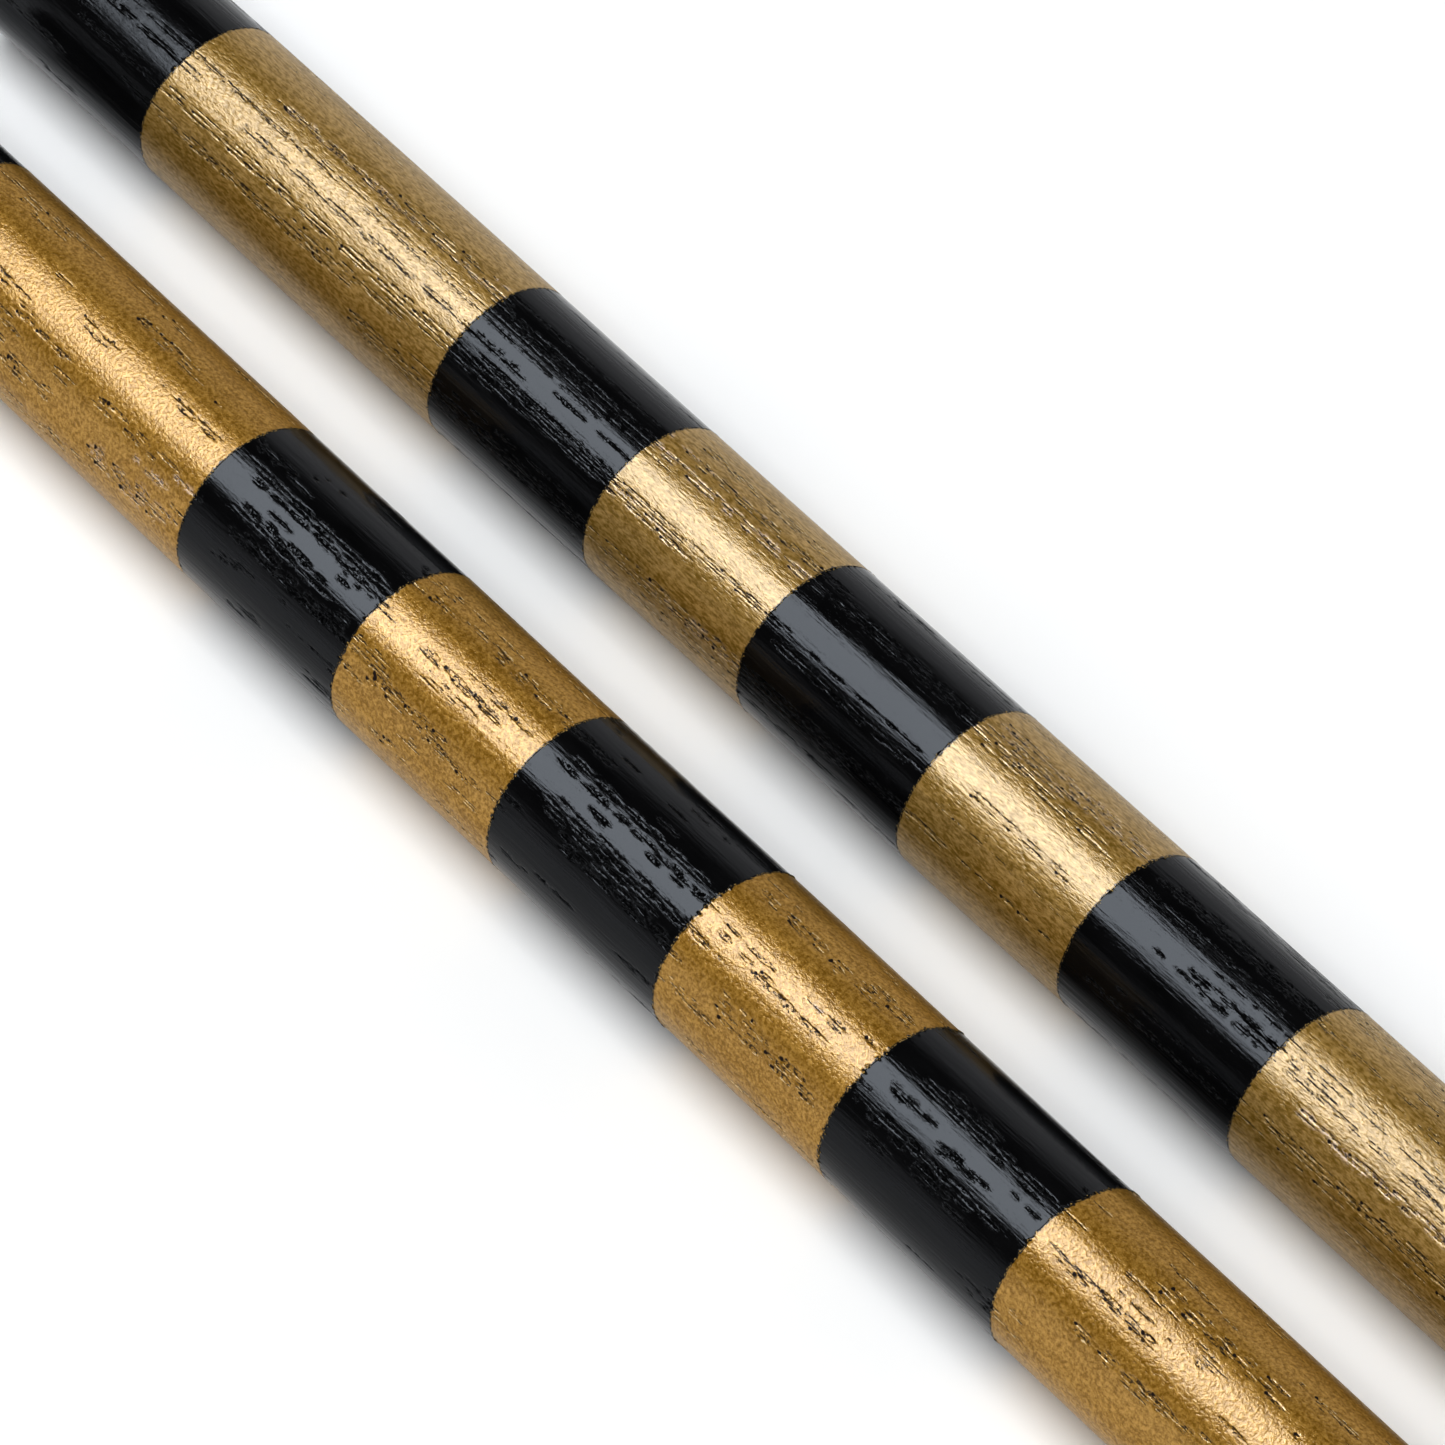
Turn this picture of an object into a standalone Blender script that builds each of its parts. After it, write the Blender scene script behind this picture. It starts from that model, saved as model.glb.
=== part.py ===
"""A pair of claves: two turned wooden sticks with painted bands, lying side by side on a table.

The sticks lie along X, the table is z = 0, and the origin is under the middle of the pair.
"""

from math import cos, pi, sin

import bpy

# Driving dimensions, in metres.
STICK_LENGTH = 0.300
RESONATOR_DIAMETER = 0.0200
STRIKER_DIAMETER = 0.0196
AXIS_SPACING = 0.0332
END_STAGGER = 0.0009
END_ROUNDING = 0.0035

# Painted bands between the two black ends, from the -X end to the +X end. They start with gold
# and take turns, and the middle one is centred on the stick.
WIDE_BAND = 0.0506
RESONATOR_BANDS = (WIDE_BAND, 0.0264, 0.0259, 0.0268, 0.0263, 0.0264, WIDE_BAND)
STRIKER_BANDS = (WIDE_BAND, 0.0263, 0.0254, 0.0260, 0.0252, 0.0260, WIDE_BAND)

# Facets round a stick, a multiple of four, and steps in each rounded end.
FACETS = 48
ROUNDING_STEPS = 4
SHARP_ANGLE = pi / 6

# Paint colours (linear), with roughness and metallic value.
WARM_GOLD = ((0.50, 0.27, 0.06, 1.0), 0.38, 0.9)
PALE_GOLD = ((0.52, 0.34, 0.11, 1.0), 0.36, 0.9)
GLOSS_BLACK = ((0.006, 0.006, 0.007, 1.0), 0.15, 0.0)


def clear_scene():
    for old in list(bpy.data.objects):
        bpy.data.objects.remove(old, do_unlink=True)


def make_collection(name):
    collection = bpy.data.collections.new(name)
    bpy.context.scene.collection.children.link(collection)
    return collection


def paint(name, look):
    """A Principled material from (colour, roughness, metallic)."""
    colour, roughness, metallic = look
    material = bpy.data.materials.new(name)
    material.use_nodes = True
    shader = material.node_tree.nodes["Principled BSDF"]
    shader.inputs["Base Color"].default_value = colour
    shader.inputs["Roughness"].default_value = roughness
    shader.inputs["Metallic"].default_value = metallic
    material.diffuse_color = colour
    return material


def band_edges(bands):
    """Distances of the band edges from the stick's middle, from the -X end to the +X end."""
    middle = len(bands) // 2
    edge = -sum(bands[:middle]) - bands[middle] / 2
    edges = [edge]
    for length in bands:
        edge += length
        edges.append(edge)
    return edges


def stick_profile(radius, edges):
    """(radius, height) points down the outer side, from the top end's centre to the bottom end's."""
    half = STICK_LENGTH / 2
    shoulder = radius - END_ROUNDING
    corner = []
    for step in range(ROUNDING_STEPS + 1):
        angle = pi / 2 * step / ROUNDING_STEPS
        out = shoulder + END_ROUNDING * sin(angle)
        along = half - END_ROUNDING * (1 - cos(angle))
        corner.append((out, along))
    top = [(0.0, half)] + corner
    bottom = [(out, -along) for out, along in reversed(top)]
    return top + [(radius, edge) for edge in reversed(edges)] + bottom


def turn(name, profile):
    """The profile swept once round the local Z axis."""
    mesh = bpy.data.meshes.new(name)
    points = [(out, 0.0, along) for out, along in profile]
    lines = [(index, index + 1) for index in range(len(points) - 1)]
    mesh.from_pydata(points, lines, [])
    turned = bpy.data.objects.new(name, mesh)
    screw = turned.modifiers.new("turn", "SCREW")
    screw.axis = "Z"
    screw.angle = 2 * pi
    screw.steps = FACETS
    screw.render_steps = FACETS
    screw.use_merge_vertices = True
    screw.merge_threshold = 0.0001
    return turned


def settle_mesh(turned):
    """Replaces the profile and its modifier with the turned mesh, so its faces can be painted."""
    bpy.context.view_layer.update()
    graph = bpy.context.evaluated_depsgraph_get()
    mesh = bpy.data.meshes.new_from_object(turned.evaluated_get(graph))
    turned.modifiers.clear()
    turned.data = mesh
    mesh.shade_smooth()
    mesh.set_sharp_from_angle(angle=SHARP_ANGLE)


def paint_bands(stick, edges, gold, black):
    """Gold on every second stretch between the edges, and black on the rest and on both ends."""
    stick.data.materials.clear()
    stick.data.materials.append(gold)
    stick.data.materials.append(black)
    for face in stick.data.polygons:
        passed = sum(face.center.z > edge for edge in edges)
        face.material_index = 0 if passed % 2 else 1


def make_stick(name, collection, diameter, bands, along, across, gold, black):
    """A stick lying along X at (along, across), on one flat facet, with its origin on its axis."""
    half_facet = pi / FACETS
    edges = band_edges(bands)
    profile = stick_profile(diameter / 2 / cos(half_facet), edges)
    stick = turn(name, profile)
    collection.objects.link(stick)
    settle_mesh(stick)
    paint_bands(stick, edges, gold, black)
    # It turns by half a facet about its own length, and then lies down.
    stick.rotation_mode = "ZYX"
    stick.rotation_euler = (0.0, pi / 2, half_facet)
    stick.location = (along, across, diameter / 2)
    return stick


def build():
    clear_scene()
    collection = make_collection("claves")
    black = paint("gloss_black", GLOSS_BLACK)
    warm_gold = paint("warm_gold", WARM_GOLD)
    pale_gold = paint("pale_gold", PALE_GOLD)
    pair_width = AXIS_SPACING + (RESONATOR_DIAMETER + STRIKER_DIAMETER) / 2
    resonator_across = (RESONATOR_DIAMETER - pair_width) / 2
    striker_across = (pair_width - STRIKER_DIAMETER) / 2
    make_stick(
        "resonator_stick",
        collection,
        RESONATOR_DIAMETER,
        RESONATOR_BANDS,
        END_STAGGER / 2,
        resonator_across,
        warm_gold,
        black,
    )
    make_stick(
        "striker_stick",
        collection,
        STRIKER_DIAMETER,
        STRIKER_BANDS,
        -END_STAGGER / 2,
        striker_across,
        pale_gold,
        black,
    )


build()
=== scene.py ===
from math import cos, pi, radians, sin, tan

import bpy
import numpy as np
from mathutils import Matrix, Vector


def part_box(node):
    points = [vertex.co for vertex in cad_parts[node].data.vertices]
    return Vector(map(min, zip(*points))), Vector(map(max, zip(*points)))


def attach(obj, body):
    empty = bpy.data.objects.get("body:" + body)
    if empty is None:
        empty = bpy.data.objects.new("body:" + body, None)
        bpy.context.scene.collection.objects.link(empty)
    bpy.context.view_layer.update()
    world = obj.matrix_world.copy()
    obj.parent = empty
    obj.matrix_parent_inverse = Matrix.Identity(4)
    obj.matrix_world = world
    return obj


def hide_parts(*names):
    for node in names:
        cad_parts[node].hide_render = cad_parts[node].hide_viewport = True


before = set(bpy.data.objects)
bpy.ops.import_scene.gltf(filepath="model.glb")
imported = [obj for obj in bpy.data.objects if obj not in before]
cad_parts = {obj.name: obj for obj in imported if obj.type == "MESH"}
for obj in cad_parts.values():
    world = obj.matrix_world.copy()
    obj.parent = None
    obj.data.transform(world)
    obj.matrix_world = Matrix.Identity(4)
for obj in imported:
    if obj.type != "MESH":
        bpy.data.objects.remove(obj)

MM = 0.001

# The view: where the camera looks, from where, and how long its lens is.
VIEW_TARGET = Vector((-0.0173, 0.0082, 0.0))
VIEW_DISTANCE = 1.025
VIEW_ELEVATION = radians(48.59)
VIEW_TURN = radians(50.69)
LENS_MM = 244.0
SENSOR_MM = 36.0
EXPOSURE = 0.60
GAMMA = 0.77

# The softbox: its angle round the sticks' line, from +Y through +Z, how far it is set back towards
# -X as a share of its distance, its size and its brightness.
SOFTBOX_LEAN = radians(105.5)
SOFTBOX_SET_BACK = 0.596
SOFTBOX_HALF_ANGLE = radians(21.0)
SOFTBOX_DISTANCE = 1.2
SOFTBOX_LENGTH = 0.60
SOFTBOX_RADIANCE = 5.6
SOFTBOX_COLOUR = (0.94, 0.97, 1.0)

# The fill: a large, weaker panel near the camera.
FILL_DIRECTION = Vector((0.62, -0.310, 0.721))
FILL_DISTANCE = 1.2
FILL_SIZE = (1.3, 1.0)
FILL_RADIANCE = 2.2
FILL_COLOUR = (1.0, 0.99, 0.98)

# The table top: its size, its tones near and far from the sticks, darker near them as painted
# shade, and its glow further out. Each reach is a pair of distances in metres, from where a change
# starts to where it is complete.
FLOOR_HALF_SIZE = 3.0
FLOOR_DROP = 0.2 * MM
FLOOR_NEAR_PAINTED_SHADE_TONE = (0.88, 0.88, 0.875, 1.0)
FLOOR_FAR_TONE = (0.94, 0.94, 0.94, 1.0)
FLOOR_TONE_REACH = (0.03, 0.20)
FLOOR_GLOW = 0.55
FLOOR_GLOW_REACH = (0.45, 1.3)

# The room: pale below a band of directions and dark above it. The band is higher towards +Y.
ROOM_PALE = (0.62, 0.62, 0.63, 1.0)
ROOM_DARK = (0.018, 0.018, 0.020, 1.0)
ROOM_BAND = (0.30, 0.50)
ROOM_LEAN = 0.20

# The paint: bands from the -X end to the +X end, between two black ends.
WIDE_BAND = 50.6 * MM
BANDS = {
    "resonator": (WIDE_BAND, 26.4 * MM, 25.9 * MM, 26.8 * MM, 26.3 * MM, 26.4 * MM, WIDE_BAND),
    "striker": (WIDE_BAND, 26.3 * MM, 25.4 * MM, 26.0 * MM, 25.2 * MM, 26.0 * MM, WIDE_BAND),
}
PIECE_NAMES = (
    "far_end_black",
    "far_wide_gold",
    "far_black",
    "far_gold",
    "middle_black",
    "near_gold",
    "near_black",
    "near_wide_gold",
    "near_end_black",
)
END_ROUNDING = 3.5 * MM

# How fine the painted surface is modelled: columns round a stick, and how far apart the rows are,
# closer near a band's edges.
COLUMNS = 800
ROW_STEP = 0.45 * MM
EDGE_ROW_STEP = 0.15 * MM
EDGE_ZONE = 1.0 * MM
ROUNDING_ROWS = 16
DISC_ROWS = 22
CAP_ANGLE = radians(75)

# The UV square: the heights that a piece's grid takes in it, and above it the fans of the -X end and
# the +X end.
UV_LAYER = "OFBake"
GRID_UV = (0.01, 0.97)
FIRST_FAN_UV = (0.976, 0.984)
LAST_FAN_UV = (0.988, 0.996)

# How each stick's wood is grained: streaks of pores, and how far they run from the stick's line.
# A streak is a few rows of pores, and each pore is a thin pit in the wood that the paint doesn't fill.
# The bold streaks are those that catch the eye: degrees round the stick from +Y up over the top,
# start and end in mm from the middle, rows, and how bare of paint its pores are.
WOODS = {
    "resonator": {
        "seed": 11,
        "unevenness": 1.0,
        "flat_depth": 0.0,
        "streaks": 520,
        "streak_length": (1.5 * MM, 9 * MM),
        "lanes": (1, 3),
        "lane_spread": 0.34 * MM,
        "pore_length": (0.8 * MM, 5.0 * MM),
        "pore_gap": (0.2 * MM, 1.8 * MM),
        "pore_width": (0.28 * MM, 0.66 * MM),
        "pore_depth": (0.030 * MM, 0.080 * MM),
        "scatter": 0.05 * MM,
        "slope": 0.012,
        "grain_reach": 0.30 * MM,
        "bare_share": 0.02,
        "edge_roughness": (0.3, 0.4, 0.5, 0.6, 1.4, 1.6, 1.2, 0.6),
        "bold_streaks": (
            (102, -77, -69, 2, 0.0),
            (105, -92, -87, 2, 0.0),
            (128, -99, -90, 2, 0.0),
            (134, -84, -72, 3, 0.0),
            (76, -88, -80, 3, 0.0),
            (155, -98, -90, 3, 0.0),
            (165, -82, -70, 4, 0.5),
            (101, -64, -42, 4, 0.0),
            (122, -62, -48, 3, 0.0),
            (136, -60, -41, 3, 0.0),
            (100, -47, -43, 3, 0.0),
            (110, -33, -22, 2, 0.0),
            (103, -23, -15, 2, 0.0),
            (80, -28, -15, 3, 0.0),
            (143, -37, -22, 3, 0.0),
            (100, -12, 12, 4, 0.0),
            (125, -10, 8, 4, 0.0),
            (138, -6, 12, 3, 0.0),
            (113, 16, 26, 1, 0.0),
            (107, 16, 20, 1, 0.0),
            (117, 22, 33, 2, 0.0),
            (112, -58, -54, 1, 0.0),
            (115, -48, -44, 1, 0.0),
            (112, -5, -2, 2, 0.0),
            (108, 3, 8, 1, 0.0),
            (116, 50, 56, 2, 0.0),
            (110, 44, 48, 1, 0.0),
            (146, 20, 36, 3, 0.0),
            (76, 15, 36, 2, 0.0),
            (107, 31, 34, 2, 0.0),
            (128, 42, 60, 3, 0.0),
            (97, 44, 62, 3, 0.0),
            (140, 74, 86, 2, 0.0),
            (115, 70, 84, 2, 0.0),
            (88, 78, 96, 3, 0.0),
        ),
    },
    "striker": {
        "seed": 29,
        "unevenness": 1.3,
        "flat_depth": 0.14 * MM,
        "streaks": 190,
        "streak_length": (5 * MM, 50 * MM),
        "lanes": (1, 3),
        "lane_spread": 0.26 * MM,
        "pore_length": (0.7 * MM, 7.0 * MM),
        "pore_gap": (0.0 * MM, 1.6 * MM),
        "pore_width": (0.18 * MM, 0.44 * MM),
        "pore_depth": (0.025 * MM, 0.060 * MM),
        "scatter": 0.04 * MM,
        "slope": -0.004,
        "grain_reach": 0.26 * MM,
        "bare_share": 0.06,
        "edge_roughness": (0.4, 0.5, 0.3, 0.6, 0.4, 0.5, 0.4, 0.5),
        "bold_streaks": (
            (89, -104, -66, 3, 0.5),
            (81, -86, -70, 2, 0.0),
            (132, -116, -66, 3, 0.0),
            (148, -110, -86, 3, 0.0),
            (164, -80, -40, 3, 0.0),
            (131, -64, -28, 3, 0.5),
            (92, -62, -12, 3, 1.0),
            (80, -36, -12, 3, 0.0),
            (66, -38, -16, 3, 0.0),
            (164, -30, 4, 3, 0.6),
            (86, -10, 22, 4, 0.4),
            (92, 14, 30, 3, 0.0),
            (122, 16, 34, 2, 0.0),
            (134, -12, 10, 3, 0.0),
            (80, 40, 62, 4, 0.0),
            (131, 68, 100, 3, 0.8),
            (72, 14, 36, 3, 0.5),
            (79, 14, 38, 2, 0.5),
            (159, -38, 36, 1, 0.0),
            (160, 40, 112, 1, 0.0),
            (125, -7, 10, 1, 0.0),
            (118, 44, 56, 1, 0.0),
            (111, -52, -41, 1, 0.0),
            (150, 66, 96, 3, 0.0),
        ),
    },
}

# A bold streak's rows lie this much further apart, and its pores are longer and wider in step.
BOLDNESS = 1.6

# What a streak draws for its pores: a plain one's share of the full width and depth, how far a row
# strays as a share of the rows' spacing, how bare a worn pore is, and how close its pores may start.
PLAIN_STRENGTH = (0.55, 1.0)
LANE_STRAY = 0.25
BARENESS = (0.3, 1.0)
CLOSEST_STARTS = 0.3 * MM

# A pore: how its width swings along its ragged outline, how wide its walls are, and how far bare
# wood shows past it, in pore half widths.
PORE_WIDTH_MIDDLE = 0.85
PORE_WIDTH_SWING = 0.45
WALL_WIDTH = 0.085 * MM
WEAR_REACH = 1.6

# The crest that faces the light, as a share of a turn from the underside. A pore's wall that faces
# the crest gets a painted glint and the other one painted shade, and the change between them is this
# sharp.
CREST_TURN = (112 + 90) / 360
GLINT_SHARPNESS = 3
LEAST_SHADE = 0.1

# The deepest pores end in a dark spot: the share of the depths that have one, its length, and where
# it lies along a pore, from -1 at the start to 1 at the end.
SPOT_SHARE = 0.35
SPOT_LENGTH = 0.35 * MM
SPOT_PLACE = -0.8

# The masks that sink_pores fills: the pit, its wall with painted shade, its wall with a painted
# glint, worn wood, the grain round it, and its dark spot.
PORE_MASKS = ("pore", "wall", "painted_glint", "bare", "grain", "spot")

# Each stick's smooth noise, in the order drawn: how long a feature is, and how many lie round it.
NOISES = {
    "swell": (34 * MM, 5),
    "flats": (60 * MM, 22),
    "ridges": (11 * MM, 120),
    "fibres": (3 * MM, 300),
    "peel": (1.1 * MM, 60),
    "breaks": (0.6 * MM, 320),
    "crumbs": (0.5 * MM, 200),
    "wander": (20 * MM, 9),
    "ragged": (3 * MM, 90),
    "frayed": (1 * MM, 330),
}

# How deep each kind of unevenness goes, from the turner's slow swell to the paint's own skin.
UNEVENNESS = {
    "swell": 0.090 * MM,
    "flats": 0.030 * MM,
    "ridges": 0.006 * MM,
    "fibres": 0.0035 * MM,
    "peel": 0.0010 * MM,
}

# How far round the striker's slightly flat side reaches, as a share of a turn.
FLAT_REACH = 25 / 360

# How much of the unevenness a flat end face keeps near its rounding.
FACE_UNEVENNESS = 0.15

# A band's edge: how far its line strays, from a slow wander to the bristles' fray. Even the
# smoothest edge keeps the least share of the last two.
EDGE_WANDER = 0.16 * MM
EDGE_RAGGEDNESS = 0.05 * MM
EDGE_FRAY = 0.09 * MM
LEAST_RAGGEDNESS = 0.5
LEAST_FRAY = 0.3

# The paint's crumbs along an edge, and the thin line between them.
CRUMB_REACH = 0.28 * MM
CRUMB_HEIGHT = 0.09 * MM
CRUMB_CONTRAST = 1.8
CRUMB_THRESHOLD = 0.5
LEAST_CRUMBS = 0.35
LINE_REACH = 0.16 * MM
LINE_STRENGTH = 0.5

# The two golds: linear tones, where the pit tone also serves as painted shade on the pores' walls,
# how metallic the paint is, the size of its flakes, and the two slants between which its clear coat
# fades, from 0 for face on to 1 for edge on.
GOLDS = {
    "resonator": {
        "deep": (0.24, 0.125, 0.006, 1.0),
        "light": (0.47, 0.285, 0.068, 1.0),
        "pit": (0.012, 0.004, 0.002, 1.0),
        "metal": 0.38,
        "flake_size": (0.46 * MM, 0.38 * MM),
        "coat_fade": (0.12, 0.45),
    },
    "striker": {
        "deep": (0.22, 0.130, 0.013, 1.0),
        "light": (0.45, 0.300, 0.104, 1.0),
        "pit": (0.012, 0.005, 0.003, 1.0),
        "metal": 0.31,
        "flake_size": (0.90 * MM, 0.30 * MM),
        "coat_fade": (0.25, 0.75),
    },
}
BARE_WOOD = (0.75, 0.60, 0.50, 1.0)
# The painted glint: bright gold on the pore walls that face the light.
PAINTED_GLINT_GOLD = (0.88, 0.72, 0.44, 1.0)
GOLD_RIM = (0.02, 0.013, 0.006, 1.0)
FLAKE_DEPTH = 0.060 * MM

# The black's linear tones, and the gold and dust on it.
DEEP_BLACK = (0.0030, 0.0030, 0.0033, 1.0)
HAZY_BLACK = (0.006, 0.006, 0.0065, 1.0)
PALE_DUST = (0.10, 0.10, 0.10, 1.0)
GOLD_FLECK = (0.50, 0.36, 0.14, 1.0)

# Noise in the paints: how long a feature is, how wide, and its detail and roughness.
CLOUDS = (14 * MM, 3.5 * MM, 3.0, 0.55)
GOLD_STREAKS = (6 * MM, 0.35 * MM, 3.0, 0.55)
HAZE = (7 * MM, 2.2 * MM, 3.0, 0.55)
BLACK_STREAKS = (6 * MM, 0.30 * MM, 3.0, 0.55)
BLACK_SKIN = (1.1 * MM, 0.26 * MM, 3.0, 0.65)
DUST = (0.36 * MM, 0.26 * MM, 2.0, 0.7)
GRIT = (0.55 * MM, 0.16 * MM, 2.0, 0.6)
DOTS = (0.55 * MM, 0.30 * MM, 2.0, 0.6)
FLAKE_DETAIL = (2.0, 0.7)

# How deep the paints' relief goes, in their bumps.
GOLD_STREAK_DEPTH = 0.020 * MM
BLACK_STREAK_DEPTH = 0.032 * MM
BLACK_SKIN_DEPTH = 0.020 * MM
SPECK_DEPTH = 0.050 * MM


def make_camera():
    """A long lens, looking down on the sticks from their near end."""
    ground = Vector((-sin(VIEW_TURN), cos(VIEW_TURN), 0.0))
    direction = ground * cos(VIEW_ELEVATION) - Vector((0, 0, 1)) * sin(VIEW_ELEVATION)
    data = bpy.data.cameras.new("camera")
    data.lens = LENS_MM
    data.sensor_width = SENSOR_MM
    camera = bpy.data.objects.new("camera", data)
    camera.location = VIEW_TARGET - direction * VIEW_DISTANCE
    camera.rotation_euler = direction.to_track_quat("-Z", "Y").to_euler()
    bpy.context.scene.collection.objects.link(camera)
    bpy.context.scene.camera = camera


# The wood and paint surface, as heights over a smooth round stick.


def ease(share):
    return share * share * (3 - 2 * share)


def bell(distance, reach):
    """1 at no distance, about a third at the reach, and almost 0 at twice the reach."""
    return np.exp(-((distance / reach) ** 2))


def noise_field(rng, length, step, cells):
    """Smooth noise from -1 to 1 on a stick: features step long, and cells of them round it."""
    rows = int(length / step) + 4
    grid = rng.uniform(-1, 1, (rows, cells))

    def value(along, turn):
        row = np.clip((along + length / 2) / step + 1, 0, rows - 1.001)
        column = (turn % 1.0) * cells
        top = np.floor(row).astype(int)
        left = np.floor(column).astype(int) % cells
        down = ease(row - top)
        across = ease(column - np.floor(column))
        right = (left + 1) % cells
        upper = grid[top, left] * (1 - across) + grid[top, right] * across
        lower = grid[top + 1, left] * (1 - across) + grid[top + 1, right] * across
        return upper * (1 - down) + lower * down

    return value


def draw_streak(rng, wood, girth, turn, start, end, lanes, boldness, bare):
    """The pores of one streak: rows of pits that lie close together along the grain."""
    pores = []
    shortest, longest = wood["pore_length"]
    shortest *= boldness**2
    spread = wood["lane_spread"] * boldness
    strength = rng.uniform(*PLAIN_STRENGTH) if boldness == 1 else 1.0
    for index in range(lanes):
        lane = ((index - (lanes - 1) / 2) + rng.normal(0, LANE_STRAY)) * spread
        along = start + rng.uniform(0, longest / 2)
        while along < end:
            pore = shortest + (longest - shortest) * rng.uniform() ** 2
            middle = along + pore / 2
            drift = wood["slope"] * (middle - start)
            aside = drift + lane + rng.normal(0, wood["scatter"])
            width = rng.uniform(*wood["pore_width"]) * strength * boldness**0.5
            depth = rng.uniform(*wood["pore_depth"]) * strength
            bareness = rng.uniform(*BARENESS) * bare
            pores.append((middle, turn + aside / girth, pore / 2, width / 2, depth, bareness))
            along += max(CLOSEST_STARTS, pore + rng.uniform(*wood["pore_gap"]))
    return pores


def draw_pores(rng, wood, length, girth):
    """Every pore of a stick: its place along and round it, half length, half width, depth, bareness."""
    pores = []
    for degrees_round, start, end, lanes, bare in wood["bold_streaks"]:
        turn = (degrees_round + 90) / 360
        pores += draw_streak(rng, wood, girth, turn, start * MM, end * MM, lanes, BOLDNESS, bare)
    for _ in range(wood["streaks"]):
        turn = rng.uniform()
        start = rng.uniform(-length / 2 - wood["streak_length"][0], length / 2)
        end = start + rng.uniform(*wood["streak_length"])
        lanes = rng.integers(*wood["lanes"], endpoint=True)
        bare = rng.uniform() < wood["bare_share"]
        pores += draw_streak(rng, wood, girth, turn, start, end, lanes, 1, bare)
    return pores


def stick_surface(name, length, radius):
    """What shapes one stick's surface: its wood, its pores and its noise."""
    wood = WOODS[name]
    rng = np.random.default_rng(wood["seed"])
    girth = 2 * pi * radius
    surface = {"wood": wood, "girth": girth, "pores": draw_pores(rng, wood, length, girth)}
    for noise_name, (step, cells) in NOISES.items():
        surface[noise_name] = noise_field(rng, length, step, cells)
    return surface


def least_spot_depth(wood):
    """Pores deeper than this end in a dark spot."""
    shallow, deep = wood["pore_depth"]
    return shallow + (1 - SPOT_SHARE) * (deep - shallow)


def keep_highest(mask, block, values):
    mask[block] = np.maximum(mask[block], values)


def sink_pores(surface, along, turn, masks):
    """The pores pressed into a grid of heights. It fills the masks of what the pores look like."""
    slope = surface["wood"]["slope"]
    reach = surface["wood"]["grain_reach"]
    girth = surface["girth"]
    spot_depth = least_spot_depth(surface["wood"])
    columns = along.shape[1]
    lowest = along.min(axis=1)
    highest = along.max(axis=1)
    uneven = PORE_WIDTH_MIDDLE + PORE_WIDTH_SWING * surface["breaks"](along, turn)
    inside = np.full(along.shape, -1.0)
    side = np.zeros(along.shape)
    depth = np.zeros(along.shape)
    for middle, place, half, width, deep, bareness in surface["pores"]:
        rows = np.flatnonzero((highest > middle - half) & (lowest < middle + half))
        if len(rows) == 0:
            continue
        window = int((width + 2 * reach + abs(slope) * half) / girth * columns) + 2
        centre = int(round((place % 1.0) * columns))
        picked = (np.arange(centre - window, centre + window + 1)) % columns
        block = np.ix_(rows, picked)
        share = (along[block] - middle) / half
        offset = (turn[block] - place + 0.5) % 1.0 - 0.5
        beside = offset * girth - slope * (along[block] - middle)
        aside = np.abs(beside)
        taper = np.clip(1 - share**4, 0, 1)
        within = np.where(taper > 0, width * taper * uneven[block] - aside, -1.0)
        nearer = within > inside[block]
        inside[block] = np.where(nearer, within, inside[block])
        side[block] = np.where(nearer, np.sign(beside), side[block])
        depth[block] = np.where(nearer, deep, depth[block])
        keep_highest(masks["bare"], block, bareness * bell(aside, WEAR_REACH * width) * taper)
        keep_highest(masks["grain"], block, bell(aside, reach) * taper)
        if deep > spot_depth:
            past_spot = along[block] - middle - SPOT_PLACE * half
            keep_highest(masks["spot"], block, bell(past_spot, SPOT_LENGTH) * bell(aside, width))
    # Painted light on the walls: painted shade on the wall away from the light's crest, and a painted
    # glint on the wall that faces it.
    facing_crest = GLINT_SHARPNESS * side * np.sin(2 * pi * (turn - CREST_TURN))
    wall = bell(inside - WALL_WIDTH / 2, WALL_WIDTH)
    masks["pore"] += np.clip(inside / WALL_WIDTH, 0, 1)
    masks["wall"] += wall * np.clip(1 - facing_crest, LEAST_SHADE, 1)
    masks["painted_glint"] += wall * np.clip(facing_crest, 0, 1)
    return -depth * masks["pore"]


def band_edges(bands):
    """Distances of the band edges from the stick's middle, from the -X end to the +X end."""
    middle = len(bands) // 2
    edge = -sum(bands[:middle]) - bands[middle] / 2
    edges = [edge]
    for band in bands:
        edge += band
        edges.append(edge)
    return edges


def edge_line(surface, edge, index, turn):
    """Where a band edge runs round the stick: nearly straight, with a brushed, slightly ragged line."""
    rough = surface["wood"]["edge_roughness"][index]
    wander = surface["wander"](edge, turn) * EDGE_WANDER
    ragged = surface["ragged"](edge, turn) * EDGE_RAGGEDNESS * (LEAST_RAGGEDNESS + rough)
    frayed = surface["frayed"](edge, turn) ** 3 * EDGE_FRAY * (LEAST_FRAY + rough)
    return edge + wander + ragged + frayed


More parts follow.
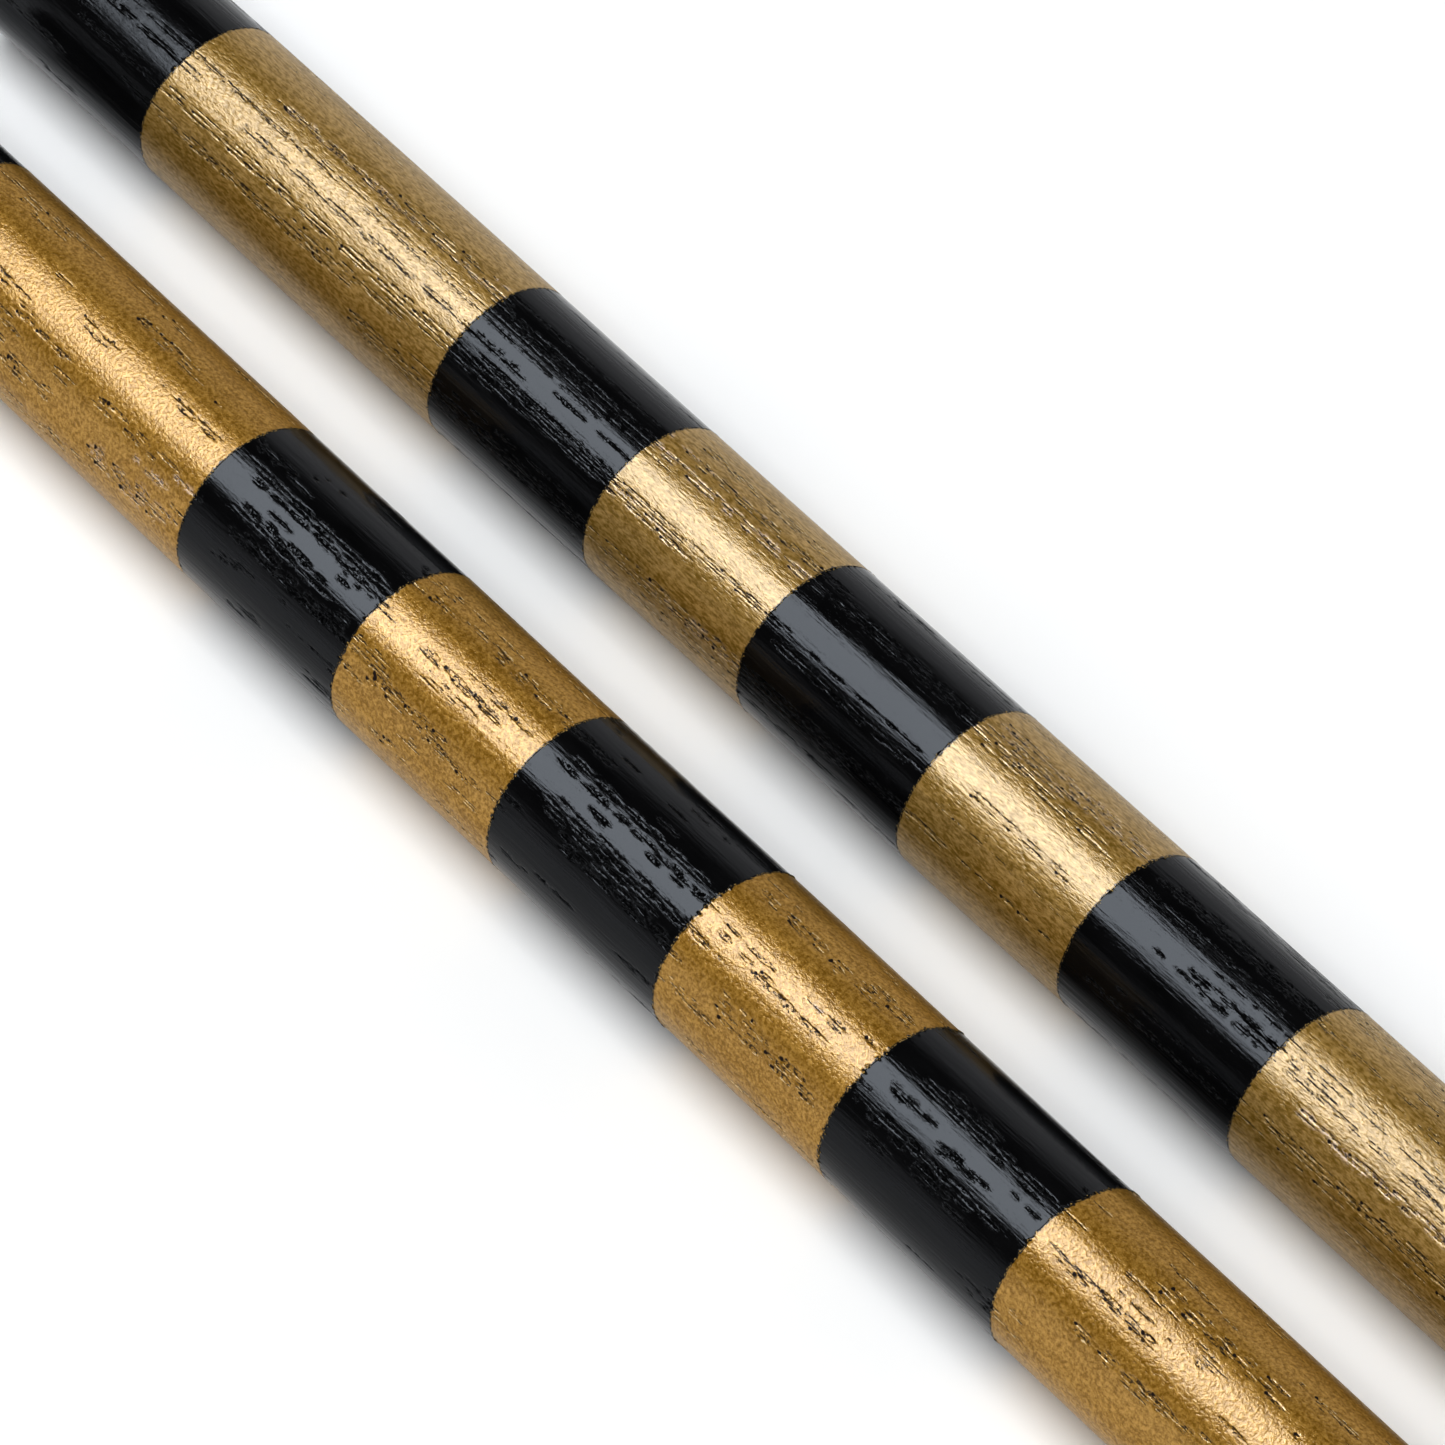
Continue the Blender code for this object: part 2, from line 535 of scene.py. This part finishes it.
def surface_height(surface, along, turn, edge_lines, fade):
    """Heights over the smooth stick and the masks of what shows on it. fade calms an end face."""
    masks = {name: np.zeros(along.shape) for name in PORE_MASKS + ("edge",)}
    height = sink_pores(surface, along, turn, masks) * fade
    for name in PORE_MASKS:
        masks[name] *= fade
    for name, depth in UNEVENNESS.items():
        height += surface[name](along, turn) * depth * fade * surface["wood"]["unevenness"]
    from_crest = (turn - CREST_TURN + 0.5) % 1.0 - 0.5
    height -= surface["wood"]["flat_depth"] * bell(from_crest, FLAT_REACH) * fade
    crumbs = np.clip(CRUMB_CONTRAST * surface["crumbs"](along, turn) - CRUMB_THRESHOLD, 0, 1)
    for line, rough in edge_lines:
        crumbled = bell(along - line, CRUMB_REACH) * crumbs
        height += crumbled * CRUMB_HEIGHT * rough
        drawn_line = bell(along - line, LINE_REACH) * LINE_STRENGTH
        marked = np.maximum(crumbled * min(1.0, LEAST_CRUMBS + rough), drawn_line)
        masks["edge"] = np.maximum(masks["edge"], marked)
    return height, masks


# The pieces' grids. Each is (places along, smooth radii, outward direction's x part and radial part).


def round_rows(start, end):
    """Rows from one edge line to another, on the straight of the stick."""
    span = np.mean(end - start)
    close = np.arange(0, EDGE_ZONE, EDGE_ROW_STEP)
    count = int(round((span - 2 * EDGE_ZONE) / ROW_STEP))
    spaced = np.linspace(EDGE_ZONE, span - EDGE_ZONE, count + 1)
    share = np.concatenate([close, spaced, span - close[::-1]])[:, None] / span
    return start[None, :] * (1 - share) + end[None, :] * share


def band_sheet(start, end, radius):
    """A band's grid, from one edge line to the next."""
    along = round_rows(start, end)
    return along, np.full(along.shape, radius), np.zeros(along.shape), np.ones(along.shape)


def end_sheet(start, half_length, radius):
    """An end's grid, for the +X end: the straight, the rounding, and the flat end face."""
    shoulder = np.full(start.shape, half_length - END_ROUNDING)
    straight = round_rows(start, shoulder)
    columns = len(start)
    turned = np.linspace(0, pi / 2, ROUNDING_ROWS + 1)[1:, None] * np.ones(columns)
    corner_along = half_length - END_ROUNDING + END_ROUNDING * np.sin(turned)
    corner_radius = radius - END_ROUNDING + END_ROUNDING * np.cos(turned)
    inward = np.linspace(1, 0, DISC_ROWS + 1)[1:-1, None] * np.ones(columns)
    disc_radius = (radius - END_ROUNDING) * inward
    disc_along = np.full(disc_radius.shape, half_length)
    along = np.vstack([straight, corner_along, disc_along])
    radii = np.vstack([np.full(straight.shape, radius), corner_radius, disc_radius])
    out_x = np.vstack([np.zeros(straight.shape), np.sin(turned), np.ones(disc_radius.shape)])
    out_r = np.vstack([np.ones(straight.shape), np.cos(turned), np.zeros(disc_radius.shape)])
    return along, radii, out_x, out_r


def piece_sheet(index, lines, half_length, radius):
    """The grid of one piece, counted from the -X end. The two end pieces mirror each other."""
    if 0 < index < len(lines):
        return band_sheet(lines[index - 1], lines[index], radius)
    sign, line = (-1, lines[0]) if index == 0 else (1, lines[-1])
    along, radii, out_x, out_r = end_sheet(sign * line, half_length, radius)
    return sign * along, radii, sign * out_x, out_r


# Meshes.


def grid_points(along, radii, centre):
    """The grid's points, row by row, and then the middle of each end."""
    columns = along.shape[1]
    angle = 2 * pi * np.arange(columns) / columns - pi / 2
    x = centre.x + along
    y = centre.y + radii * np.cos(angle)
    z = centre.z + radii * np.sin(angle)
    first = [x[0].mean(), centre.y, centre.z]
    last = [x[-1].mean(), centre.y, centre.z]
    return np.vstack([np.stack([x, y, z], axis=2).reshape(-1, 3), [first, last]])


def grid_faces(rows, columns):
    """The quads between the rows, and the triangles of the fan over each end."""
    low = np.arange((rows - 1) * columns)
    column = low % columns
    low_beside = low - column + (column + 1) % columns
    quads = np.stack([low, low_beside, low_beside + columns, low + columns], axis=1)
    side = np.arange(columns)
    following = (side + 1) % columns
    base = (rows - 1) * columns
    middle = np.full(columns, rows * columns)
    first_fan = np.stack([following, side, middle], axis=1)
    last_fan = np.stack([base + side, base + following, middle + 1], axis=1)
    return quads, first_fan, last_fan


def grid_uv(rows, columns):
    """Where each face corner lies in the UV square: the grid laid flat, and each fan as a row of teeth."""
    count = np.arange((rows - 1) * columns)
    left = count % columns / columns
    right = (count % columns + 1) / columns
    bottom, top = GRID_UV
    low = bottom + (top - bottom) * (count // columns) / (rows - 1)
    high = bottom + (top - bottom) * (count // columns + 1) / (rows - 1)
    quad_uv = np.stack([left, low, right, low, right, high, left, high], axis=1)
    left = np.arange(columns) / columns
    right = (np.arange(columns) + 1) / columns
    tip = (left + right) / 2
    low, high = (np.full(columns, height) for height in FIRST_FAN_UV)
    first_uv = np.stack([right, low, left, low, tip, high], axis=1)
    low, high = (np.full(columns, height) for height in LAST_FAN_UV)
    last_uv = np.stack([left, low, right, low, tip, high], axis=1)
    return np.concatenate([part.reshape(-1, 2) for part in (quad_uv, first_uv, last_uv)])


def closed_piece(name, along, radii, centre, mirrored):
    """A closed, smooth shaded mesh from a grid, with a fan over each end."""
    rows, columns = along.shape
    points = grid_points(along, radii, centre)
    faces = grid_faces(rows, columns)
    corners = np.concatenate([part.ravel() for part in faces])
    sizes = np.concatenate([np.full(len(part), part.shape[1]) for part in faces])
    mesh = bpy.data.meshes.new(name)
    mesh.vertices.add(len(points))
    mesh.vertices.foreach_set("co", points.astype(np.float32).ravel())
    mesh.loops.add(len(corners))
    mesh.loops.foreach_set("vertex_index", corners.astype(np.int32))
    mesh.polygons.add(len(sizes))
    mesh.polygons.foreach_set("loop_start", (np.cumsum(sizes) - sizes).astype(np.int32))
    layer = mesh.uv_layers.new(name=UV_LAYER)
    layer.uv.foreach_set("vector", grid_uv(rows, columns).astype(np.float32).ravel())
    mesh.update(calc_edges=True)
    mesh.validate()
    if mirrored:
        mesh.flip_normals()
    mesh.shade_smooth()
    mesh.set_sharp_from_angle(angle=CAP_ANGLE)
    piece = bpy.data.objects.new(name, mesh)
    bpy.context.scene.collection.objects.link(piece)
    return piece


def store_mask(piece, name, mask):
    """A mask over the grid as a point attribute, with 0 at the two fan centres."""
    values = np.concatenate([mask.ravel(), [0.0, 0.0]]).astype(np.float32)
    attribute = piece.data.attributes.new(name, "FLOAT", "POINT")
    attribute.data.foreach_set("value", values)


# Materials.


def new_material(name):
    material = bpy.data.materials.new(name)
    material.use_nodes = True
    tree = material.node_tree
    return material, tree, tree.nodes["Principled BSDF"]


def stretched_noise(tree, along, round_it, detail, roughness):
    """A noise texture whose features are along metres long and round_it metres wide."""
    where = tree.nodes.new("ShaderNodeTexCoord")
    mapping = tree.nodes.new("ShaderNodeMapping")
    mapping.inputs["Scale"].default_value = (1 / along, 1 / round_it, 1 / round_it)
    noise = tree.nodes.new("ShaderNodeTexNoise")
    noise.inputs["Scale"].default_value = 1.0
    noise.inputs["Detail"].default_value = detail
    noise.inputs["Roughness"].default_value = roughness
    tree.links.new(where.outputs["Object"], mapping.inputs["Vector"])
    tree.links.new(mapping.outputs["Vector"], noise.inputs["Vector"])
    return noise.outputs["Fac"]


def read_mask(tree, name):
    node = tree.nodes.new("ShaderNodeAttribute")
    node.attribute_name = name
    return node.outputs["Fac"]


def remap(tree, value, low, high, to_low, to_high):
    """value from low..high to to_low..to_high, held at the limits."""
    node = tree.nodes.new("ShaderNodeMapRange")
    node.inputs["From Min"].default_value = low
    node.inputs["From Max"].default_value = high
    node.inputs["To Min"].default_value = to_low
    node.inputs["To Max"].default_value = to_high
    tree.links.new(value, node.inputs["Value"])
    return node.outputs["Result"]


def blend_colours(tree, share, under, over):
    """Mixes two colours, each a socket or four numbers."""
    node = tree.nodes.new("ShaderNodeMix")
    node.data_type = "RGBA"
    tree.links.new(share, node.inputs["Factor"])
    for socket, colour in ((node.inputs[6], under), (node.inputs[7], over)):
        if isinstance(colour, tuple):
            socket.default_value = colour
        else:
            tree.links.new(colour, socket)
    return node.outputs[2]


def combine(tree, operation, first, *others):
    """Math nodes that join sockets or numbers one after another."""
    joined = first
    for other in others:
        node = tree.nodes.new("ShaderNodeMath")
        node.operation = operation
        for socket, value in ((node.inputs[0], joined), (node.inputs[1], other)):
            if isinstance(value, (int, float)):
                socket.default_value = value
            else:
                tree.links.new(value, socket)
        joined = node.outputs["Value"]
    return joined


def add_bump(tree, shader, layers):
    """Chains bumps into the shader's normal. Each layer is (height socket, depth in metres, strength)."""
    normal = None
    for height, depth, strength in layers:
        bump = tree.nodes.new("ShaderNodeBump")
        bump.inputs["Distance"].default_value = depth
        bump.inputs["Strength"].default_value = strength
        tree.links.new(height, bump.inputs["Height"])
        if normal is not None:
            tree.links.new(normal, bump.inputs["Normal"])
        normal = bump.outputs["Normal"]
    tree.links.new(normal, shader.inputs["Normal"])
    return normal


def gold_tone(tree, gold, streaks, flakes):
    """Clouds, brush streaks and flakes, between the paint's deep and light tones."""
    clouded = remap(tree, stretched_noise(tree, *CLOUDS), 0.3, 0.7, 0.10, 0.30)
    streaked = remap(tree, streaks, 0.3, 0.7, 0.05, 0.35)
    flaked = remap(tree, flakes, 0.34, 0.66, -0.45, 0.60)
    share = remap(tree, combine(tree, "ADD", clouded, streaked, flaked), 0.0, 1.0, 0.0, 1.0)
    return blend_colours(tree, share, gold["deep"], gold["light"])


def gold_hollows(tree, specks, dots, broken):
    """Where the gold shows dark: the pores' outlines, painted shade on the wall away from the light, their
    bottoms, the specks, and the spots.
    """
    painted_shade_outline = combine(tree, "MULTIPLY", remap(tree, read_mask(tree, "wall"), 0.50, 0.80, 0.0, 1.0), broken)
    pit = remap(tree, read_mask(tree, "pore"), 0.5, 1.0, 0.0, 1.0)
    bottom = combine(tree, "MULTIPLY", pit, remap(tree, dots, 0.54, 0.58, 0.0, 0.9))
    spot = remap(tree, read_mask(tree, "spot"), 0.45, 0.60, 0.0, 1.0)
    return combine(tree, "MAXIMUM", painted_shade_outline, bottom, specks, spot)


def gold_coat(tree, shader, gold, dull):
    """A clear coat over the gold, weaker where the surface slants away or the gold is dull."""
    slant = tree.nodes.new("ShaderNodeLayerWeight")
    slant.inputs["Blend"].default_value = 0.5
    clear = remap(tree, slant.outputs["Facing"], *gold["coat_fade"], 1.0, 0.2)
    shining = remap(tree, dull, 0.2, 0.9, 1.0, 0.1)
    tree.links.new(combine(tree, "MULTIPLY", clear, shining), shader.inputs["Coat Weight"])
    shader.inputs["Coat Roughness"].default_value = 0.14
    shader.inputs["Coat IOR"].default_value = 1.58


def gold_paint(stick):
    """Metallic gold: fine flakes in a clear binder, brushed along the stick, dark in the pores, with
    painted shade and painted glints on the pores' walls.
    """
    gold = GOLDS[stick]
    material, tree, shader = new_material(stick + "_gold_paint")
    streaks = stretched_noise(tree, *GOLD_STREAKS)
    flakes = stretched_noise(tree, *gold["flake_size"], *FLAKE_DETAIL)
    grit = stretched_noise(tree, *GRIT)
    dots = stretched_noise(tree, *DOTS)
    grain = read_mask(tree, "grain")
    specks = combine(tree, "MULTIPLY", grain, remap(tree, grit, 0.59, 0.63, 0.0, 0.95))
    broken = remap(tree, dots, 0.38, 0.46, 0.1, 1.0)
    hollow = gold_hollows(tree, specks, dots, broken)
    patchy = remap(tree, dots, 0.47, 0.52, 0.0, 1.0)
    worn = combine(tree, "MULTIPLY", read_mask(tree, "bare"), patchy)
    # A painted glint in dashes: bright gold on the pore walls that face the light.
    painted_glint_dashes = remap(tree, grit, 0.48, 0.54, 0.0, 1.0)
    painted_glint = remap(tree, read_mask(tree, "painted_glint"), 0.50, 0.80, 0.0, 0.9)
    painted_glint_share = combine(tree, "MULTIPLY", painted_glint, painted_glint_dashes)
    rim = combine(tree, "MULTIPLY", remap(tree, read_mask(tree, "edge"), 0.18, 0.40, 0.0, 1.0), broken)
    colour = gold_tone(tree, gold, streaks, flakes)
    for share, over in ((worn, BARE_WOOD), (painted_glint_share, PAINTED_GLINT_GOLD), (hollow, gold["pit"]), (rim, GOLD_RIM)):
        colour = blend_colours(tree, share, colour, over)
    tree.links.new(colour, shader.inputs["Base Color"])
    dull = combine(tree, "MAXIMUM", hollow, worn)
    tree.links.new(remap(tree, dull, 0.2, 0.9, gold["metal"], 0.0), shader.inputs["Metallic"])
    brushed = remap(tree, streaks, 0.3, 0.7, 0.34, 0.40)
    rough = combine(tree, "ADD", brushed, remap(tree, dull, 0.2, 0.9, 0.0, 0.3))
    tree.links.new(rough, shader.inputs["Roughness"])
    shader.inputs["Specular IOR Level"].default_value = 0.2
    gold_coat(tree, shader, gold, dull)
    relief = [
        (streaks, GOLD_STREAK_DEPTH, 0.7),
        (specks, -SPECK_DEPTH, 1.0),
        (flakes, FLAKE_DEPTH, 1.0),
    ]
    normal = add_bump(tree, shader, relief)
    tree.links.new(normal, shader.inputs["Coat Normal"])
    return material


def black_marks(tree, dust, rim):
    """Where the black swallows the light: the pores' outlines, painted shade on the wall away from the
    light, their bottoms, and the band's rim.
    """
    painted_shade_outline = remap(tree, read_mask(tree, "wall"), 0.50, 0.80, 0.0, 1.0)
    pit = remap(tree, read_mask(tree, "pore"), 0.5, 0.9, 0.0, 1.0)
    bottom = combine(tree, "MULTIPLY", pit, remap(tree, dust, 0.47, 0.51, 0.0, 1.0))
    return combine(tree, "MAXIMUM", bottom, painted_shade_outline, rim)


def black_paint():
    """Gloss black over the same open pores, with a little haze and flecks of gold at its edges."""
    material, tree, shader = new_material("gloss_black_paint")
    haze = stretched_noise(tree, *HAZE)
    streaks = stretched_noise(tree, *BLACK_STREAKS)
    skin = stretched_noise(tree, *BLACK_SKIN)
    dust = stretched_noise(tree, *DUST)
    grit = stretched_noise(tree, *GRIT)
    hazy = remap(tree, haze, 0.3, 0.7, 0.0, 1.0)
    dusty = remap(tree, dust, 0.72, 0.84, 0.0, 0.25)
    rim = remap(tree, read_mask(tree, "edge"), 0.2, 0.45, 0.0, 1.0)
    flecked = combine(tree, "MULTIPLY", rim, remap(tree, dust, 0.53, 0.58, 0.0, 1.0))
    colour = blend_colours(tree, hazy, DEEP_BLACK, HAZY_BLACK)
    for share, over in ((dusty, PALE_DUST), (flecked, GOLD_FLECK)):
        colour = blend_colours(tree, share, colour, over)
    tree.links.new(colour, shader.inputs["Base Color"])
    grain = read_mask(tree, "grain")
    specks = combine(tree, "MULTIPLY", grain, remap(tree, grit, 0.53, 0.62, 0.0, 1.0))
    marks = black_marks(tree, dust, rim)
    # Metallic over the black base takes the shine out of the marks, so their outlines are painted shade.
    tree.links.new(marks, shader.inputs["Metallic"])
    hollow = combine(tree, "MAXIMUM", marks, remap(tree, specks, 0.0, 1.0, 0.0, 0.4))
    gloss = remap(tree, haze, 0.3, 0.7, 0.06, 0.12)
    rough = combine(tree, "ADD", gloss, remap(tree, hollow, 0.0, 1.0, 0.0, 0.75))
    tree.links.new(rough, shader.inputs["Roughness"])
    shader.inputs["Specular IOR Level"].default_value = 0.32
    shader.inputs["Specular Tint"].default_value = (0.90, 0.94, 1.0, 1.0)
    relief = [
        (streaks, BLACK_STREAK_DEPTH, 0.8),
        (skin, BLACK_SKIN_DEPTH, 0.8),
        (specks, -SPECK_DEPTH, 1.0),
    ]
    add_bump(tree, shader, relief)
    return material


# The two sticks.


def make_stick(name, gold, black):
    """Covers one stick from end to end with painted pieces that stand for its node."""
    node = name + "_stick"
    low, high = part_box(node)
    centre = (low + high) / 2
    length = high.x - low.x
    radius = (high.z - low.z) / 2
    surface = stick_surface(name, length, radius)
    turn = np.arange(COLUMNS) / COLUMNS
    edges = enumerate(band_edges(BANDS[name]))
    lines = [edge_line(surface, edge, index, turn) for index, edge in edges]
    rough_lines = list(zip(lines, surface["wood"]["edge_roughness"]))
    for index, piece_name in enumerate(PIECE_NAMES):
        along, radii, out_x, out_r = piece_sheet(index, lines, length / 2, radius)
        turns = np.broadcast_to(turn, along.shape)
        fade = np.clip(radii / radius, 0, 1) ** 2 * np.clip(out_r + FACE_UNEVENNESS, 0, 1)
        touching = rough_lines[max(index - 1, 0) : index + 1]
        height, masks = surface_height(surface, along, turns, touching, fade)
        along = along + out_x * height
        radii = radii + out_r * height
        piece = closed_piece(name + "_" + piece_name, along, radii, centre, mirrored=index == 0)
        for mask_name, mask in masks.items():
            store_mask(piece, mask_name, mask)
        golden = piece_name.endswith("gold")
        piece.data.materials.append(gold if golden else black)
        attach(piece, name)
        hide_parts(node)


def make_sticks():
    golds = {name: gold_paint(name) for name in BANDS}
    black = black_paint()
    for name in BANDS:
        make_stick(name, golds[name], black)


# The studio.


def make_floor():
    """A plain pale table top, a little darker near the sticks as painted shade. Far from the sticks it
    glows a little, to meet a pale horizon.
    """
    mesh = bpy.data.meshes.new("floor")
    size = FLOOR_HALF_SIZE
    corners = [(-size, -size, 0), (size, -size, 0), (size, size, 0), (-size, size, 0)]
    mesh.from_pydata(corners, [], [(0, 1, 2, 3)])
    floor = bpy.data.objects.new("floor", mesh)
    floor.location.z = -FLOOR_DROP
    bpy.context.scene.collection.objects.link(floor)
    material, tree, shader = new_material("pale_floor")
    where = tree.nodes.new("ShaderNodeTexCoord")
    distance = tree.nodes.new("ShaderNodeVectorMath")
    distance.operation = "LENGTH"
    tree.links.new(where.outputs["Object"], distance.inputs[0])
    # Painted shade: the floor's tone is darker near the sticks.
    far = remap(tree, distance.outputs["Value"], *FLOOR_TONE_REACH, 0.0, 1.0)
    tone = blend_colours(tree, far, FLOOR_NEAR_PAINTED_SHADE_TONE, FLOOR_FAR_TONE)
    tree.links.new(tone, shader.inputs["Base Color"])
    shader.inputs["Roughness"].default_value = 0.7
    shader.inputs["Specular IOR Level"].default_value = 0.2
    glow = remap(tree, distance.outputs["Value"], *FLOOR_GLOW_REACH, 0.0, FLOOR_GLOW)
    tree.links.new(glow, shader.inputs["Emission Strength"])
    shader.inputs["Emission Color"].default_value = (1.0, 1.0, 1.0, 1.0)
    mesh.materials.append(material)


def make_panel(name, location, facing, size, radiance, colour):
    """A rectangular panel of light. facing is the direction from the table to the panel's front."""
    data = bpy.data.lights.new(name, "AREA")
    data.shape = "RECTANGLE"
    data.size, data.size_y = size
    data.energy = radiance * pi * data.size * data.size_y
    data.color = colour
    panel = bpy.data.objects.new(name, data)
    panel.location = location
    panel.rotation_euler = facing.to_track_quat("Z", "Y").to_euler()
    bpy.context.scene.collection.objects.link(panel)


def make_lights():
    """A softbox overhead that gives the sticks their bright strip, and a fill near the camera."""
    above = Vector((0, cos(SOFTBOX_LEAN), sin(SOFTBOX_LEAN)))
    place = (above + Vector((-SOFTBOX_SET_BACK, 0, 0))) * SOFTBOX_DISTANCE
    breadth = 2 * SOFTBOX_DISTANCE * tan(SOFTBOX_HALF_ANGLE)
    softbox_size = (SOFTBOX_LENGTH, breadth)
    make_panel("softbox", place, above, softbox_size, SOFTBOX_RADIANCE, SOFTBOX_COLOUR)
    fill_place = FILL_DIRECTION * FILL_DISTANCE
    make_panel("fill", fill_place, FILL_DIRECTION, FILL_SIZE, FILL_RADIANCE, FILL_COLOUR)


def make_world():
    """Pale surroundings near the table, and a dark room above them."""
    world = bpy.data.worlds.new("studio")
    world.use_nodes = True
    tree = world.node_tree
    background = tree.nodes["Background"]
    where = tree.nodes.new("ShaderNodeTexCoord")
    parts = tree.nodes.new("ShaderNodeSeparateXYZ")
    tree.links.new(where.outputs["Generated"], parts.inputs["Vector"])
    lean = combine(tree, "MULTIPLY", parts.outputs["Y"], ROOM_LEAN)
    lifted = combine(tree, "SUBTRACT", parts.outputs["Z"], lean)
    pale = remap(tree, lifted, *ROOM_BAND, 1.0, 0.0)
    colour = blend_colours(tree, pale, ROOM_DARK, ROOM_PALE)
    tree.links.new(colour, background.inputs["Color"])
    background.inputs["Strength"].default_value = 1.0
    bpy.context.scene.world = world


def set_view():
    settings = bpy.context.scene.view_settings
    settings.view_transform = "Standard"
    settings.look = "None"
    settings.exposure = EXPOSURE
    settings.gamma = GAMMA


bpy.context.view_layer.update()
make_camera()
make_sticks()
make_floor()
make_lights()
make_world()
set_view()
